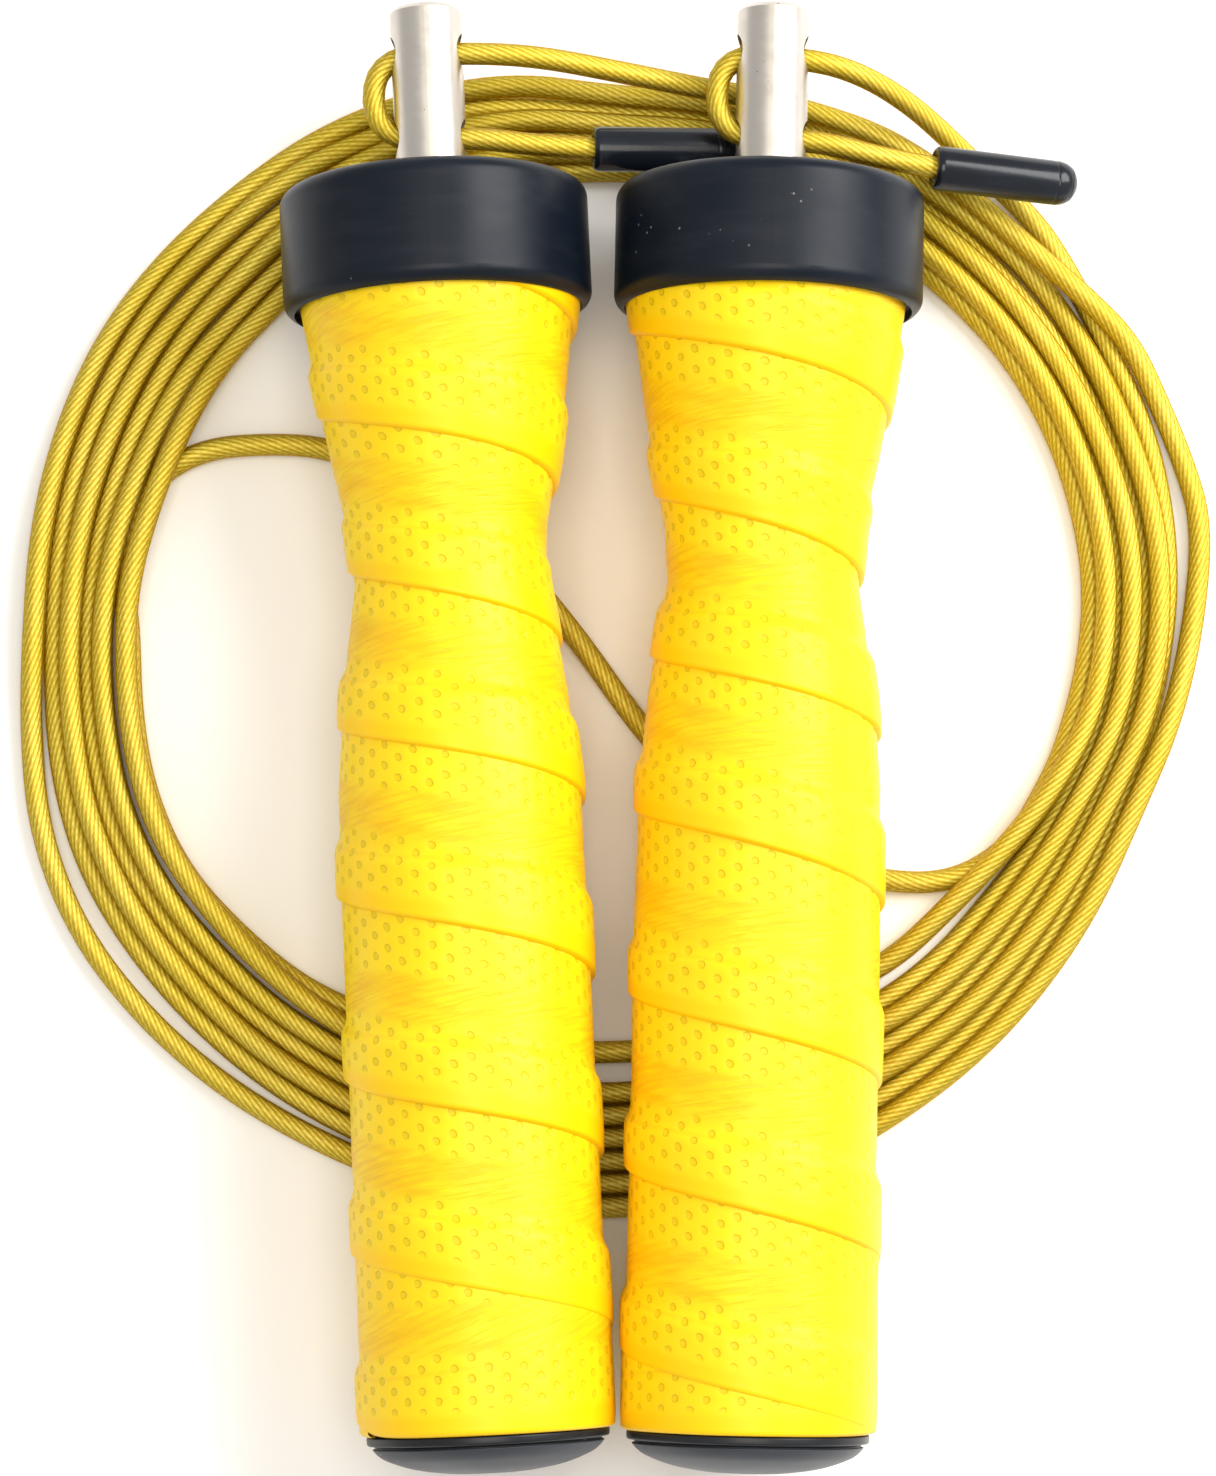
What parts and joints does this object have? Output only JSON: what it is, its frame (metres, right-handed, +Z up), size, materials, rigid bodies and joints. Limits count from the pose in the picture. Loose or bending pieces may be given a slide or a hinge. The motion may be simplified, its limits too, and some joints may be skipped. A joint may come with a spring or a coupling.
{
  "type": "jump rope",
  "caption": "Speed jump rope: a steel cable in a clear coat, coiled, held by cross-drilled spindles that turn on ball bearings in two tape-wrapped handles.",
  "frame": {"origin": "on the surface the rope lies on, under the middle of the two handles", "axes": "+Y from the butt caps to the spindles, +X from the left handle to the right one, +Z up"},
  "size_m": [0.1597, 0.192, 0.0406],
  "materials": {
    "spindle_metal": "satin nickel plated turned steel",
    "fastener_steel": "zinc plated steel",
    "bearing_steel": "ground bearing steel",
    "bearing_cage": "pressed brass cage",
    "collar_black": "black anodised, satin",
    "core_plastic": "moulded nylon, matte",
    "grip_tape": "perforated polyurethane overgrip, satin",
    "cap_black": "moulded rubber, satin",
    "vinyl_tip": "dipped vinyl, glossy",
    "rope_cable": "twisted steel cable in a clear yellow coat"
  },
  "bodies": {
    "rope": {"rope_coil": "rope_cable", "rope_crossing": "rope_cable", "rope_left_end": "rope_cable", "rope_right_end": "rope_cable", "left_rope_tip": "vinyl_tip", "right_rope_tip": "vinyl_tip", "left_spindle": "spindle_metal", "left_spindle_nut": "fastener_steel", "left_spindle_washer": "fastener_steel", "left_bearing_spacer": "fastener_steel", "left_front_inner_race": "bearing_steel", "left_rear_inner_race": "bearing_steel", "right_spindle": "spindle_metal", "right_spindle_nut": "fastener_steel", "right_spindle_washer": "fastener_steel", "right_bearing_spacer": "fastener_steel", "right_front_inner_race": "bearing_steel", "right_rear_inner_race": "bearing_steel"},
    "left_handle": {"left_collar": "collar_black", "left_bearing_circlip": "fastener_steel", "left_outer_race_spacer": "fastener_steel", "left_handle_core": "core_plastic", "left_grip_tape": "grip_tape", "left_butt_cap": "cap_black", "left_front_outer_race": "bearing_steel", "left_rear_outer_race": "bearing_steel"},
    "left_ball_sets": {"left_front_balls": "bearing_steel", "left_front_cage": "bearing_cage", "left_rear_balls": "bearing_steel", "left_rear_cage": "bearing_cage"},
    "right_handle": {"right_collar": "collar_black", "right_bearing_circlip": "fastener_steel", "right_outer_race_spacer": "fastener_steel", "right_handle_core": "core_plastic", "right_grip_tape": "grip_tape", "right_butt_cap": "cap_black", "right_front_outer_race": "bearing_steel", "right_rear_outer_race": "bearing_steel"},
    "right_ball_sets": {"right_front_balls": "bearing_steel", "right_front_cage": "bearing_cage", "right_rear_balls": "bearing_steel", "right_rear_cage": "bearing_cage"}
  },
  "joints": [
    {"name": "left_handle_spin", "type": "hinge", "parent": "rope", "child": "left_handle", "pos_m": [-0.01895, 0, 0.0203], "axis": [-0.048, 0.9988, 0], "continuous": true},
    {"name": "left_ball_sets_spin", "type": "hinge", "parent": "rope", "child": "left_ball_sets", "pos_m": [-0.02159, 0.05494, 0.0203], "axis": [-0.048, 0.9988, 0], "continuous": true},
    {"name": "right_handle_spin", "type": "hinge", "parent": "rope", "child": "right_handle", "pos_m": [0.02055, 0, 0.0203], "axis": [0.0218, 0.9998, 0], "continuous": true},
    {"name": "right_ball_sets_spin", "type": "hinge", "parent": "rope", "child": "right_ball_sets", "pos_m": [0.02175, 0.05499, 0.0203], "axis": [0.0218, 0.9998, 0], "continuous": true}
  ],
  "couplings": [
    {"joint": "left_ball_sets_spin", "follows": "left_handle_spin", "ratio": 0.6323},
    {"joint": "right_ball_sets_spin", "follows": "right_handle_spin", "ratio": 0.6323}
  ]
}
